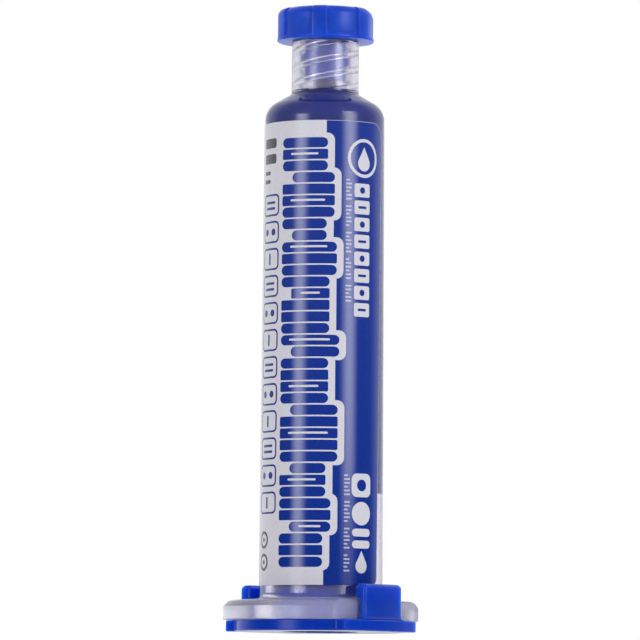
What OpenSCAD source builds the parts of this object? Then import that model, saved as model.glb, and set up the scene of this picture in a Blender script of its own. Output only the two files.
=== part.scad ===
// Solder mask syringe: a filled 10 cc dispensing barrel that stands on its end cap.
// Z runs up the barrel's axis and z = 0 is the underside of the end cap.
// The snap hooks stand on X, and the finger flange's wings point along Y.

/* [Barrel] */
// Inside diameter of the tube
bore_d = 15; // [14:0.1:16.4]
// Outside diameter of the tube where the shoulder starts
tube_d_high = 18.4; // [17.4:0.1:19.2]
// Outside diameter of the tube at the finger flange, larger by the mould's draft
tube_d_low = 18.95; // [18.5:0.05:19.4]
// Length of the tube from the flange's top to the start of the shoulder
tube_len = 74.05; // [40:0.05:110]
// Slope of the shoulder against the horizontal, in degrees
shoulder_angle = 30; // [22:1:38]
// Outer radius of the bend between tube and shoulder
shoulder_round = 3; // [2.2:0.1:3.6]
// Wall of the shoulder, measured across it
shoulder_wall = 1.1; // [1:0.05:1.6]
// Radius of the fillet at the root of the collar
neck_fillet = 0.6; // [0.3:0.1:1]
// Radius of the fillet between the tube and the flange's top
foot_fillet = 0.8; // [0.3:0.1:0.9]

/* [Finger flange] */
// Diameter of the flange across its wings
flange_d = 30; // [27:0.1:33]
// Distance between the two flats under the hooks
flange_flats = 21.9; // [21.4:0.1:23]
// Thickness of the flange
flange_t = 3.05; // [2.2:0.05:4.5]
// Radius of the flange's upper edge
flange_round = 1.5; // [0.6:0.1:1.8]

/* [Luer lock] */
// Outside diameter of the collar
collar_d = 10.4; // [9.6:0.1:11.4]
// Height of the collar above its root on the shoulder
collar_len = 7.95; // [6:0.05:10]
// Inside diameter of the collar, at the root of its thread
collar_bore_d = 8; // [7.9:0.05:8.3]
// Depth of the collar's socket beside the luer tip
collar_depth = 6.8; // [5.2:0.1:7]
// Slope of the socket's floor, down from the luer tip's root, in degrees
floor_slope = 21; // [0:1:28]
// Diameter of the luer tip at its end
luer_d = 3.98; // [3.9:0.01:4.1]
// Growth of the luer tip's diameter per millimetre towards its root
luer_taper = 0.06; // [0.05:0.005:0.07]
// How far the luer tip stands out of the collar
luer_proud = 2.05; // [1:0.05:3]
// Diameter of the channel through the luer tip
channel_d = 2.2; // [1.4:0.1:2.6]

/* [Tip cap] */
// Diameter of the head over its ribs
head_d = 15.2; // [13.6:0.1:17]
// Height of the head
head_h = 5; // [4:0.1:7]
// Depth of the hollows between the ribs
rib_h = 0.25; // [0.15:0.05:0.6]
// Width of one rib
rib_w = 2.7; // [1.6:0.1:3.6]
// Number of ribs round the head
rib_count = 6; // [4:1:10]
// Radius of the head's upper edge
head_round = 1.1; // [0.5:0.1:1.4]
// Radius of the head's lower edge
head_foot_round = 0.25; // [0.15:0.05:0.6]
// Outside diameter of the stem
stem_d = 6.3; // [5.8:0.1:6.7]
// Length of the stem below the head
stem_len = 6.15; // [4.5:0.05:6.4]
// Diameter over the two lugs
lug_d = 7.5; // [7:0.1:7.7]
// Height of a lug
lug_h = 1; // [0.6:0.1:1.4]
// Distance from the stem's end to the underside of the lugs
lug_rise = 2.9; // [0:0.1:3.1]
// Angle that one lug spans round the stem
lug_span = 100; // [60:5:130]

/* [End cap] */
// Diameter of the plate
plate_d = 26.2; // [24:0.1:28]
// Thickness of the plate
plate_t = 1.7; // [1.2:0.1:2.6]
// Width of an ear
ear_w = 16.9; // [13:0.1:18]
// Radius where an ear meets the plate's rim
ear_fillet = 1; // [0.5:0.1:1.5]
// Radius of an ear's two corners
ear_round = 0.4; // [0.2:0.1:1]
// How far an ear's end bows out in its middle
ear_bow = 0.7; // [0.3:0.1:1.2]
// Distance from a hook's outer face to the middle of its ear's end
hook_set_back = 0.35; // [0.25:0.05:0.8]
// Width of a snap hook
hook_w = 8.9; // [6:0.1:11]
// Wall of a snap hook
hook_t = 1.3; // [1:0.05:1.6]
// Height of the snap hook's lip above the flange
lip_h = 2; // [1.2:0.05:3]
// How far the lip reaches over the flange's flat
lip_reach = 0.7; // [0.4:0.05:0.8]
// Size of the sloping lead-in on the lip's inner edge
lip_lead = 0.45; // [0.2:0.05:0.7]
// Radius of a snap hook's upright corners
hook_round = 0.45; // [0.2:0.05:0.5]
// Radius of a snap hook's upper outer edge
hook_top_round = 0.5; // [0.2:0.05:0.7]
// Radius of the hook's upper corners, seen from outside
hook_corner = 0.6; // [0.3:0.1:1.2]
// Radius of the fillet where a hook meets its ear
hook_root = 0.6; // [0.3:0.1:1]
// Height of the plug ring above the plate
plug_h = 5.5; // [3:0.1:8]
// Wall of the plug ring
plug_wall = 1.6; // [1.2:0.1:2.6]
// Thickness of the plug ring's roof
plug_roof = 1.1; // [0.8:0.1:1.6]

/* [Piston and ink] */
// Length of the piston from its rear to its front lip
piston_len = 13.6; // [9:0.1:18]
// Height of each wiping lip
wiper_h = 2; // [1.2:0.1:3]
// Depth of the waist between the lips
waist_depth = 0.4; // [0.2:0.05:0.8]
// Wall of the piston's hollow skirt
skirt_wall = 1.2; // [1:0.1:2]
// Thickness of the piston's head over its hollow
piston_head = 4; // [3:0.1:5]

/* [Label] */
// Thickness of the label film
label_t = 0.08; // [0.08:0.01:0.2]
// Bare tube between the flange and the label
label_low = 2.2; // [1:0.1:6]
// Bare tube between the label and the shoulder
label_high = 0.85; // [0.5:0.05:6]
// Radius of the label's upper corners
label_round_high = 2.8; // [0.5:0.1:3.5]
// Radius of the label's lower corners
label_round_low = 1.4; // [0.5:0.1:3]
// Direction of the middle of the bare strip, from X
label_gap_at = 47; // [0:1:90]
// Width of the bare strip beside the label
label_gap = 9.8; // [5:0.1:12]
// Lean of the label's upright edges, in degrees
label_lean = 0.8; // [0:0.1:0.9]

/* [Clearances] */
// Gap between the wiping lips and the bore, on the radius
piston_gap = 0.05; // [0.02:0.01:0.1]
// Gap between the plug ring and the bore, on the radius
plug_gap = 0.1; // [0.05:0.01:0.2]
// Gap between the luer tip and the cap's socket, on the radius
luer_gap = 0.05; // [0.02:0.01:0.1]
// Gap between the head's underside and the collar
head_gap = 0.25; // [0.1:0.05:0.5]
// Gap between the hooks and the flange
hook_gap = 0.25; // [0.1:0.05:0.35]
// Layer of glue under the label
glue_t = 0.03; // [0.02:0.01:0.06]
// Gap round the ink
ink_gap = 0.05; // [0.02:0.01:0.1]
// Gap between the plug ring's roof and the piston
piston_rest_gap = 0.3; // [0.1:0.1:1]

/* [Hidden] */
$fn = 96;
eps = 0.01;

// Heights, stacked from the resting face up
flange_z = plate_t;
tube_z = flange_z + flange_t;
shoulder_z = tube_z + tube_len;

bore_r = bore_d / 2;
high_r = tube_d_high / 2;
low_r = tube_d_low / 2;
collar_r = collar_d / 2;
channel_r = channel_d / 2;
slope = tan(shoulder_angle);

// The shoulder is an arc that runs into a straight slope, and the inside follows at the wall's depth
bend_r = high_r - shoulder_round;
inner_round = shoulder_round - shoulder_wall;
inner_bend_r = bore_r - inner_round;
inner_touch_r = inner_bend_r + inner_round * sin(shoulder_angle);
inner_bend_z = inside_height(inner_touch_r) - inner_round * cos(shoulder_angle);
collar_root_z = shoulder_height(collar_r);
collar_z = collar_root_z + collar_len;
socket_z = collar_z - collar_depth;
cone_top_z = inside_height(channel_r);
luer_z = collar_z + luer_proud;
luer_root_d = luer_d + luer_taper * (luer_z - socket_z);

// Tip cap
head_z = collar_z + head_gap;
head_top_z = head_z + head_h;
stem_z = head_z - stem_len;
lug_z = stem_z + lug_rise;
// How deep a lug is set into the stem's wall
lug_root = 0.5;
// Room in the cap's socket past the end of the luer tip
luer_clear = 0.6;

// Piston, with its hollow open to the rear
piston_z = flange_z + plug_h + piston_rest_gap;
wiper_z = piston_z + piston_len;
piston_r = bore_r - piston_gap;
// The front lip's level rim, and the groove that slopes down inside it
wiper_edge = 0.5;
wiper_groove = 0.7;
nose_r = piston_r - wiper_edge - wiper_groove;
nose_z = wiper_z - wiper_groove;

// Angle of a rib's middle, from X
rib_at = 2.5;
// Angle of a lug's middle, from X
lug_at = 40;

// Width of the label's strip in which its corners are rounded
label_edge_w = 8;

// End cap: the hooks stand just outside the flange's flats, on ears that reach a little further
hook_in = flange_flats / 2 + hook_gap;
hook_out = hook_in + hook_t;
ear_reach = hook_out + hook_set_back;
// Radius of the arc that bows an ear's end
ear_end_r = (pow(ear_bow, 2) + pow(ear_w / 2, 2)) / (2 * ear_bow);
lip_in = flange_flats / 2 - lip_reach;
lip_z = tube_z + hook_gap;
lip_top_z = lip_z + lip_h;
plug_r = bore_r - plug_gap;

// Height of the shoulder's straight slope at radius r
function shoulder_height(r) =
    shoulder_z + shoulder_round * cos(shoulder_angle)
    + slope * (bend_r + shoulder_round * sin(shoulder_angle) - r);

// Height of the slope's inside at radius r
function inside_height(r) = shoulder_height(r) - shoulder_wall / cos(shoulder_angle);

// Outer radius of the drafted tube at height z
function tube_r(z) = low_r + (high_r - low_r) * (z - tube_z) / tube_len;

// Everything under a bend and its slope, as a profile against the axis, up to a top at radius top_r
module bend_profile(centre_r, centre_z, round_r, top_r) {
    // Where the arc runs into the slope
    touch_r = centre_r + round_r * sin(shoulder_angle);
    touch_z = centre_z + round_r * cos(shoulder_angle);
    top_z = touch_z + slope * (touch_r - top_r);
    translate([centre_r, centre_z]) intersection() {
        circle(round_r);
        square([round_r, round_r]);
    }
    polygon([[0, centre_z], [centre_r, centre_z], [touch_r, touch_z], [top_r, top_z], [0, top_z]]);
}

// The concave fillet in the corner between the shoulder's slope and the collar
module neck_fillet_profile() {
    // Centre of the fillet's arc, clear of the collar and of the slope by its radius
    cx = collar_r + neck_fillet;
    cz = shoulder_height(cx) + neck_fillet / cos(shoulder_angle);
    difference() {
        polygon([
            [collar_r - eps, collar_root_z - eps],
            [cx - neck_fillet * sin(shoulder_angle), cz - neck_fillet * cos(shoulder_angle)],
            [cx, cz],
            [collar_r - eps, cz]
        ]);
        translate([cx, cz]) circle(neck_fillet);
    }
}

module barrel_outside() {
    polygon([
        [0, tube_z - eps],
        [low_r, tube_z - eps],
        [low_r, tube_z],
        [high_r, shoulder_z],
        [0, shoulder_z]
    ]);
    bend_profile(bend_r, shoulder_z, shoulder_round, collar_r);
    neck_fillet_profile();
    translate([0, collar_root_z - eps]) square([collar_r, collar_len + eps]);
    // Fillet between the tube and the flange
    difference() {
        translate([0, tube_z - eps]) square([low_r + foot_fillet, foot_fillet + eps]);
        translate([low_r + foot_fillet, tube_z + foot_fillet]) circle(foot_fillet);
    }
}

module barrel_inside() {
    translate([0, flange_z - 1]) square([bore_r, inner_bend_z - flange_z + 1]);
    bend_profile(inner_bend_r, inner_bend_z, inner_round, channel_r);
    translate([0, cone_top_z - eps]) square([channel_r, luer_z - cone_top_z + 1]);
}

module luer_tip_profile() {
    polygon([[0, socket_z], [luer_root_d / 2, socket_z], [luer_d / 2, luer_z], [0, luer_z]]);
}

// The ring-shaped space between the luer tip and the collar, whose floor slopes down to the collar
module collar_socket() {
    drop = tan(floor_slope) * (collar_bore_d - luer_root_d) / 2;
    difference() {
        polygon([
            [luer_d / 4, socket_z],
            [luer_root_d / 2, socket_z],
            [collar_bore_d / 2, socket_z - drop],
            [collar_bore_d / 2, collar_z + 1],
            [luer_d / 4, collar_z + 1]
        ]);
        luer_tip_profile();
    }
}

module flange() {
    intersection() {
        rotate_extrude() {
            translate([0, flange_z]) square([flange_d / 2, flange_t - flange_round]);
            translate([0, flange_z]) square([flange_d / 2 - flange_round, flange_t]);
            translate([flange_d / 2 - flange_round, tube_z - flange_round]) circle(flange_round);
        }
        translate([-flange_flats / 2, -flange_d, flange_z]) cube([flange_flats, 2 * flange_d, flange_t]);
    }
}

module barrel() {
    color([0.86, 0.87, 0.92, 0.45]) difference() {
        union() {
            flange();
            rotate_extrude() {
                barrel_outside();
                luer_tip_profile();
            }
        }
        rotate_extrude() {
            barrel_inside();
            collar_socket();
        }
    }
}

// Outline of the head's ribs seen from above, with rounded corners
module rib_outline() {
    core_r = head_d / 2 - rib_h;
    for (i = [0:rib_count - 1]) rotate(rib_at + 360 * i / rib_count) {
        translate([0, -rib_w / 2]) square([core_r, rib_w]);
        translate([0, rib_h - rib_w / 2]) square([core_r + rib_h, rib_w - 2 * rib_h]);
        for (side = [-1, 1]) translate([core_r, side * (rib_w / 2 - rib_h)]) circle(rib_h);
    }
}

// The head out to radius r, with its rounded upper and lower edges
module head_profile(r) {
    translate([0, head_z]) square([r - head_foot_round, head_h - head_round]);
    translate([0, head_z + head_foot_round]) square([r, head_h - head_round - head_foot_round]);
    translate([r - head_foot_round, head_z + head_foot_round]) circle(head_foot_round);
    translate([0, head_z]) square([r - head_round, head_h]);
    translate([r - head_round, head_top_z - head_round]) circle(head_round);
}

module tip_cap() {
    color([0.16, 0.3, 0.75]) difference() {
        union() {
            rotate_extrude() head_profile(head_d / 2 - rib_h);
            intersection() {
                rotate_extrude() head_profile(head_d / 2);
                translate([0, 0, head_z]) linear_extrude(head_h) rib_outline();
            }
            translate([0, 0, stem_z]) cylinder(d = stem_d, h = stem_len + 1);
            for (side = [0, 180]) rotate(lug_at - lug_span / 2 + side)
                rotate_extrude(angle = lug_span) translate([stem_d / 2 - lug_root, lug_z])
                    square([(lug_d - stem_d) / 2 + lug_root, lug_h]);
        }
        // Socket that seals on the luer tip
        rotate_extrude() polygon([
            [0, stem_z - 1],
            [luer_d / 2 + luer_gap + luer_taper * (luer_z - stem_z + 1) / 2, stem_z - 1],
            [luer_d / 2 + luer_gap, luer_z],
            [luer_d / 2 + luer_gap, luer_z + luer_clear],
            [0, luer_z + luer_clear]
        ]);
    }
}

// Outline of the end cap's plate: a disc with two ears whose ends bow out
module plate_outline() {
    plate_r = plate_d / 2;
    // Reach of an ear at its corners
    corner_x = ear_reach - ear_bow;
    intersection() {
        union() {
            circle(plate_r);
            square([2 * ear_reach, ear_w - 2 * ear_round], center = true);
            square([2 * (corner_x - ear_round), ear_w], center = true);
            for (turn = [0, 180]) rotate(turn) for (side = [0, 1]) mirror([0, side]) {
                translate([corner_x - ear_round, ear_w / 2 - ear_round]) circle(ear_round);
                ear_fillet_outline(plate_r);
            }
        }
        translate([ear_reach - ear_end_r, 0]) circle(ear_end_r, $fn = 480);
        translate([ear_end_r - ear_reach, 0]) circle(ear_end_r, $fn = 480);
    }
}

// The concave fillet between the disc's rim and an ear's edge, in the first quadrant
module ear_fillet_outline(plate_r) {
    // Centre of the fillet's arc, outside the disc and the ear by its radius
    cy = ear_w / 2 + ear_fillet;
    cx = sqrt(pow(plate_r + ear_fillet, 2) - cy * cy);
    touch = plate_r / (plate_r + ear_fillet);
    difference() {
        polygon([[0, 0], [cx, 0], [cx, cy], [cx * touch, cy * touch]]);
        translate([cx, cy]) circle(ear_fillet);
    }
}

module end_cap() {
    color([0.1, 0.24, 0.68]) difference() {
        union() {
            linear_extrude(plate_t) plate_outline();
            cylinder(r = plug_r, h = plate_t + plug_h);
            for (turn = [0, 180]) rotate(turn) snap_hook();
        }
        translate([0, 0, -1]) cylinder(r = plug_r - plug_wall, h = plate_t + plug_h - plug_roof + 1);
    }
}

// The snap hook on the +X side: its arm stands where three outlines meet, and its foot flares into the ear
module snap_hook() {
    intersection() {
        rotate([90, 0, 0]) linear_extrude(hook_w, center = true) hook_side();
        rotate([90, 0, 90]) linear_extrude(hook_out) hook_front();
        linear_extrude(lip_top_z) hook_plan();
    }
    intersection() {
        rotate([90, 0, 0]) linear_extrude(ear_w, center = true) foot_outline(hook_out, hook_in);
        rotate([90, 0, 90]) linear_extrude(ear_reach)
            for (side = [0, 1]) mirror([side, 0]) foot_outline(hook_w / 2, 0);
        linear_extrude(lip_top_z) plate_outline();
    }
}

// Side view of a hook's arm: an upright wall, and a lip with a sloping lead-in
module hook_side() {
    height = lip_top_z - plate_t;
    translate([hook_in, plate_t - eps]) square([hook_t, height - hook_top_round + eps]);
    translate([hook_in, plate_t]) square([hook_t - hook_top_round, height]);
    translate([hook_out - hook_top_round, lip_top_z - hook_top_round]) circle(hook_top_round);
    polygon([
        [hook_in + eps, lip_z],
        [lip_in, lip_z],
        [lip_in, lip_top_z - lip_lead],
        [lip_in + lip_lead, lip_top_z],
        [hook_in + eps, lip_top_z]
    ]);
}

// Front view of a hook's arm, with two rounded corners at the top
module hook_front() {
    height = lip_top_z - plate_t;
    half = hook_w / 2;
    translate([-half, plate_t - eps]) square([hook_w, height - hook_corner + eps]);
    translate([hook_corner - half, plate_t]) square([hook_w - 2 * hook_corner, height]);
    for (side = [-1, 1])
        translate([side * (half - hook_corner), lip_top_z - hook_corner]) circle(hook_corner);
}

// Plan view of a hook's arm and lip, with rounded corners
module hook_plan() {
    half = hook_w / 2;
    reach = hook_out - lip_in;
    translate([lip_in, hook_round - half]) square([reach, hook_w - 2 * hook_round]);
    translate([lip_in + hook_round, -half]) square([reach - 2 * hook_round, hook_w]);
    for (side = [-1, 1]) for (x = [lip_in + hook_round, hook_out - hook_round])
        translate([x, side * (half - hook_round)]) circle(hook_round);
}

// Outline of a hook's foot: from the inner edge out to a face, and a concave fillet down to the ear
module foot_outline(face, inner) {
    difference() {
        translate([inner, plate_t - eps]) square([face - inner + hook_root, hook_root + eps]);
        translate([face + hook_root, plate_t + hook_root]) circle(hook_root);
    }
}

module piston() {
    hollow_r = piston_r - waist_depth - skirt_wall;
    hollow_z = wiper_z - piston_head;
    color([0.93, 0.93, 0.9]) rotate_extrude() polygon([
        [hollow_r, piston_z],
        [piston_r, piston_z],
        [piston_r, piston_z + wiper_h],
        [piston_r - waist_depth, piston_z + wiper_h + waist_depth],
        [piston_r - waist_depth, wiper_z - wiper_h - waist_depth],
        [piston_r, wiper_z - wiper_h],
        [piston_r, wiper_z],
        [piston_r - wiper_edge, wiper_z],
        [nose_r, nose_z],
        [0, nose_z + slope * nose_r],
        [0, hollow_z + slope * hollow_r / 2],
        [hollow_r, hollow_z]
    ]);
}

module ink() {
    ink_r = bore_r - ink_gap;
    rise = 2 * ink_gap;
    color([0.08, 0.13, 0.42]) rotate_extrude() difference() {
        union() {
            translate([0, piston_z]) square([ink_r, inner_bend_z - ink_gap - piston_z]);
            translate([0, -ink_gap / cos(shoulder_angle)]) intersection() {
                bend_profile(inner_bend_r, inner_bend_z, inner_round, channel_r);
                square([ink_r, 2 * shoulder_z]);
            }
            translate([0, cone_top_z - 1]) square([channel_r - ink_gap, luer_z - cone_top_z + 1]);
        }
        // The piston's front, with a gap above it
        polygon([
            [0, piston_z - 1],
            [ink_r + 1, piston_z - 1],
            [ink_r + 1, wiper_z + rise],
            [nose_r + wiper_groove, wiper_z + rise],
            [nose_r, nose_z + 2 * rise],
            [0, nose_z + slope * nose_r + 2 * rise]
        ]);
    }
}

module label() {
    low_z = tube_z + label_low;
    high_z = shoulder_z - label_high;
    height = high_z - low_z;
    color([0.8, 0.8, 0.84]) difference() {
        rotate_extrude() translate([glue_t, 0]) polygon([
            [tube_r(low_z), low_z],
            [tube_r(low_z) + label_t, low_z],
            [tube_r(high_z) + label_t, high_z],
            [tube_r(high_z), high_z]
        ]);
        // Bare strip between the label's two upright edges
        rotate(label_gap_at) translate([0, 0, (low_z + high_z) / 2]) rotate([90, 0, 90])
            linear_extrude(tube_d_low) difference() {
                square([label_gap + 2 * label_edge_w, height + 2], center = true);
                for (side = [-1, 1]) rotate(-label_lean) translate([side * label_gap / 2, 0])
                    label_edge(side, height);
            }
    }
}

// The strip of label beside one upright edge, with its two rounded corners
module label_edge(side, height) {
    reach = 2 * label_edge_w;
    inner = max(label_round_high, label_round_low);
    straight = height - label_round_low - label_round_high;
    mirror([side < 0 ? 1 : 0, 0]) {
        translate([0, label_round_low - height / 2]) square([reach, straight]);
        translate([inner, -height / 2 - 1]) square([reach - inner, height + 2]);
        label_corner(label_round_low, inner, height / 2);
        mirror([0, 1]) label_corner(label_round_high, inner, height / 2);
    }
}

// The label's area round its lower corner, beside the edge
module label_corner(round_r, inner, half) {
    translate([round_r, round_r - half]) circle(round_r);
    translate([round_r, -half - 1]) square([inner - round_r + eps, half + 1]);
}

barrel();
tip_cap();
end_cap();
piston();
ink();
label();
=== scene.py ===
import math

import bmesh
import bpy
from mathutils import Matrix, Vector
from mathutils.geometry import delaunay_2d_cdt


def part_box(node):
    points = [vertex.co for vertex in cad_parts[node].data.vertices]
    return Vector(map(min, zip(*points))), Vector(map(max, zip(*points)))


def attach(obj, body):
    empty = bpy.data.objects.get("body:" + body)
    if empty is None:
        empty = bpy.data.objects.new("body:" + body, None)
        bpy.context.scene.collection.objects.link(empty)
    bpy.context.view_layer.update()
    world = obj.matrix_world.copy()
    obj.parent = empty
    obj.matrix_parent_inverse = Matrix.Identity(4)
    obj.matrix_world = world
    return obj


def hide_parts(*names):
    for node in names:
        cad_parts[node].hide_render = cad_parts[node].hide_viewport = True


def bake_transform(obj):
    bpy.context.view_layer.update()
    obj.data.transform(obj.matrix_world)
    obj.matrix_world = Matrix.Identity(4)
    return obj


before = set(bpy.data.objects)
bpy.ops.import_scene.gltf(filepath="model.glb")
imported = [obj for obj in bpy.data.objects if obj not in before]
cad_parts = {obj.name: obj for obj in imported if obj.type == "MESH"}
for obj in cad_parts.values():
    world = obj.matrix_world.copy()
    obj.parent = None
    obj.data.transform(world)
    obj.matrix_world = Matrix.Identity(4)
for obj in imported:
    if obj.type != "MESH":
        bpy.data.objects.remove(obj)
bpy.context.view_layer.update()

# The camera stands 88 cm away, just below the level of the syringe's foot, and looks slightly up.
# Its long lens keeps the barrel's sides almost parallel, and a small roll leans the top to the right.
VIEW_TURN = math.radians(40)
AWAY = Vector((-math.sin(VIEW_TURN), math.cos(VIEW_TURN), 0))
VIEW_DISTANCE = 0.88
VIEW_HEIGHT = -0.020
VIEW_AIM = Vector((0, 0, 0.048))
VIEW_ROLL = math.radians(0.484)

camera = bpy.data.objects.new("camera", bpy.data.cameras.new("camera"))
bpy.context.scene.collection.objects.link(camera)
camera.location = Vector((0, 0, VIEW_HEIGHT)) - VIEW_DISTANCE * AWAY
aim = (VIEW_AIM - camera.location).to_track_quat("-Z", "Y").to_matrix()
camera.rotation_euler = (aim @ Matrix.Rotation(VIEW_ROLL, 3, "Z")).to_euler()
camera.data.sensor_width = 36
camera.data.lens = 322.4
camera.data.shift_x = -0.005
camera.data.clip_start = 0.01
bpy.context.scene.camera = camera
bpy.context.scene.view_settings.view_transform = "Standard"

# Barrel: one injection moulding in clear polypropylene, with a drafted tube, a finger flange with two
# flats, a sloping shoulder, and a luer-lock collar whose double-start thread takes a dispensing needle.
# The outside is polished in the mould, and the inside, drawn off a core pin, is slightly frosted.
MM = 0.001
CRISP_CORNER = math.radians(32)
FLANGE_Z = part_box("barrel")[0].z / MM
LUER_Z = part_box("barrel")[1].z / MM
FLANGE_R = 15
FLANGE_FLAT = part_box("barrel")[1].x / MM
FLANGE_ROUND = 1.5
FLANGE_BEVEL = 0.12
FLAT_ROUND = 0.6
TUBE_Z = FLANGE_Z + 3.05
TUBE_R_LOW = 9.475
TUBE_R_HIGH = 9.2
FOOT_FILLET = 1.1
BORE_R = 7.5
BORE_BEVEL = 0.2
SHOULDER_Z = TUBE_Z + 74.05
SHOULDER_SLOPE = math.radians(30)
SHOULDER_ROUND = 3
SHOULDER_WALL = 1.1
BEND_R = TUBE_R_HIGH - SHOULDER_ROUND
INNER_ROUND = SHOULDER_ROUND - SHOULDER_WALL
NECK_FILLET = 0.6
COLLAR_R = 5.2
COLLAR_Z = LUER_Z - 1.9
COLLAR_ROUND = 0.25
SOCKET_R = 4
SOCKET_Z = LUER_Z - 8.85
SOCKET_SLOPE = math.radians(21)
SOCKET_EDGE = 0.1
LUER_END_R = 1.99
LUER_TAPER = 0.03
LUER_ROOT_R = LUER_END_R + LUER_TAPER * (LUER_Z - SOCKET_Z)
LUER_ROUND = 0.15
CHANNEL_R = 1.25
CHANNEL_BEVEL = 0.1
THREAD_LEAD = 5
THREAD_STARTS = 2
THREAD_DEPTH = 0.5
THREAD_CREST = 0.5
THREAD_FLANK = 0.22
THREAD_EDGE = 0.12
THREAD_ROWS = 170
# Height of a ridge's middle where it faces the camera
THREAD_Z = 85.48
FACING = VIEW_TURN - math.pi / 2


def arc(cx, cz, radius, start, end, steps=8):
    """Points of an arc from one angle to another, in degrees."""
    turns = [math.radians(start + (end - start) * i / steps) for i in range(steps + 1)]
    return [(cx + radius * math.cos(t), cz + radius * math.sin(t)) for t in turns]


def clamp(value, low=0, high=1):
    return max(low, min(high, value))


def shoulder_height(radius, depth=0):
    """Height of the shoulder's straight slope at a radius, or at a depth under it."""
    run = BEND_R + SHOULDER_ROUND * math.sin(SHOULDER_SLOPE) - radius
    rise = (SHOULDER_ROUND - depth / math.cos(SHOULDER_SLOPE) ** 2) * math.cos(SHOULDER_SLOPE)
    return SHOULDER_Z + rise + run * math.tan(SHOULDER_SLOPE)


def inside_bend(outset=0):
    """The arc from the bore into the cone under the shoulder."""
    r = BORE_R - INNER_ROUND
    z = shoulder_height(r + INNER_ROUND * math.sin(SHOULDER_SLOPE), SHOULDER_WALL)
    z -= INNER_ROUND * math.cos(SHOULDER_SLOPE)
    return arc(r, z, INNER_ROUND + outset, 0, 60)


def thread_height(turn, z):
    """How far the collar's thread stands in from its wall."""
    spacing = THREAD_LEAD / THREAD_STARTS
    climbed = z - THREAD_Z - THREAD_LEAD * (turn - FACING) / (2 * math.pi)
    off = abs((climbed + spacing / 2) % spacing - spacing / 2)
    return THREAD_DEPTH * clamp((THREAD_CREST / 2 + THREAD_FLANK - off) / THREAD_FLANK)


def socket_floor(radius):
    """Height of the socket's floor, which slopes down from the luer tip to the collar."""
    return SOCKET_Z - (radius - LUER_ROOT_R) * math.tan(SOCKET_SLOPE)


def inside_profile():
    """The bore, the cone under the shoulder and the channel, from the flange up."""
    return [
        (BORE_R + BORE_BEVEL, FLANGE_Z),
        (BORE_R, FLANGE_Z + BORE_BEVEL),
        *inside_bend(),
        (CHANNEL_R, shoulder_height(CHANNEL_R, SHOULDER_WALL)),
        (CHANNEL_R, LUER_Z - CHANNEL_BEVEL),
        (CHANNEL_R + CHANNEL_BEVEL, LUER_Z),
    ]


def luer_profile(turn):
    """The luer tip, the socket round it and the collar's threaded wall, up to the rim."""
    low, high = socket_floor(SOCKET_R) + THREAD_EDGE, COLLAR_Z - THREAD_EDGE
    heights = [low + (high - low) * i / THREAD_ROWS for i in range(THREAD_ROWS + 1)]
    floor_in, floor_out = LUER_ROOT_R + SOCKET_EDGE, SOCKET_R - THREAD_DEPTH - SOCKET_EDGE
    return [
        *arc(LUER_END_R - LUER_ROUND, LUER_Z - LUER_ROUND, LUER_ROUND, 90, 0, 4),
        (LUER_ROOT_R, SOCKET_Z + SOCKET_EDGE),
        (floor_in, socket_floor(floor_in)),
        (floor_out, socket_floor(floor_out)),
        *[(SOCKET_R - thread_height(turn, z), z) for z in heights],
        (SOCKET_R + THREAD_EDGE, COLLAR_Z),
    ]


def shoulder_outside():
    """The collar's outer wall, the neck fillet, the slope and the bend into the tube, downwards."""
    neck_r = COLLAR_R + NECK_FILLET
    neck_z = shoulder_height(neck_r) + NECK_FILLET / math.cos(SHOULDER_SLOPE)
    return [
        *arc(COLLAR_R - COLLAR_ROUND, COLLAR_Z - COLLAR_ROUND, COLLAR_ROUND, 90, 0, 4),
        *arc(neck_r, neck_z, NECK_FILLET, 180, 240),
        *arc(BEND_R, SHOULDER_Z, SHOULDER_ROUND, 60, 0, 16),
    ]


def flange_top(radius):
    """Height of the flange's top, which rounds over at its edge."""
    over = clamp((radius - FLANGE_R + FLANGE_ROUND) / FLANGE_ROUND)
    return TUBE_Z - FLANGE_ROUND + FLANGE_ROUND * math.sqrt(1 - over * over)


def flange_profile(turn):
    """The flange from the tube's foot to its underside. Its two flats cut the rim short."""
    reach = min(FLANGE_R, FLANGE_FLAT / max(abs(math.cos(turn)), 1e-6))
    start = min(FLANGE_R - FLANGE_ROUND, reach - FLAT_ROUND)
    edge = reach - FLANGE_BEVEL
    radii = [start + (edge - start) * math.sin(math.pi / 2 * i / 10) for i in range(11)]
    edge_z = flange_top(radii[-1])
    return [
        *arc(TUBE_R_LOW + FOOT_FILLET, TUBE_Z + FOOT_FILLET, FOOT_FILLET, 180, 270, 6)[:-1],
        *[(r, flange_top(r)) for r in radii],
        (reach, edge_z - FLANGE_BEVEL),
        (reach, FLANGE_Z + FLANGE_BEVEL),
        (edge, FLANGE_Z),
    ]


def barrel_profile(turn):
    return inside_profile() + luer_profile(turn) + shoulder_outside() + flange_profile(turn)


def solid(name, points, faces):
    """Makes a closed piece from points in millimetres, with smooth faces and crisp corners."""
    mesh = bpy.data.meshes.new(name)
    mesh.from_pydata([Vector(p) * MM for p in points], [], faces)
    work = bmesh.new()
    work.from_mesh(mesh)
    bmesh.ops.remove_doubles(work, verts=work.verts, dist=0.001 * MM)
    bmesh.ops.recalc_face_normals(work, faces=work.faces)
    work.to_mesh(mesh)
    work.free()
    mesh.shade_smooth()
    mesh.set_sharp_from_angle(angle=CRISP_CORNER)
    piece = bpy.data.objects.new(name, mesh)
    bpy.context.scene.collection.objects.link(piece)
    return piece


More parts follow.
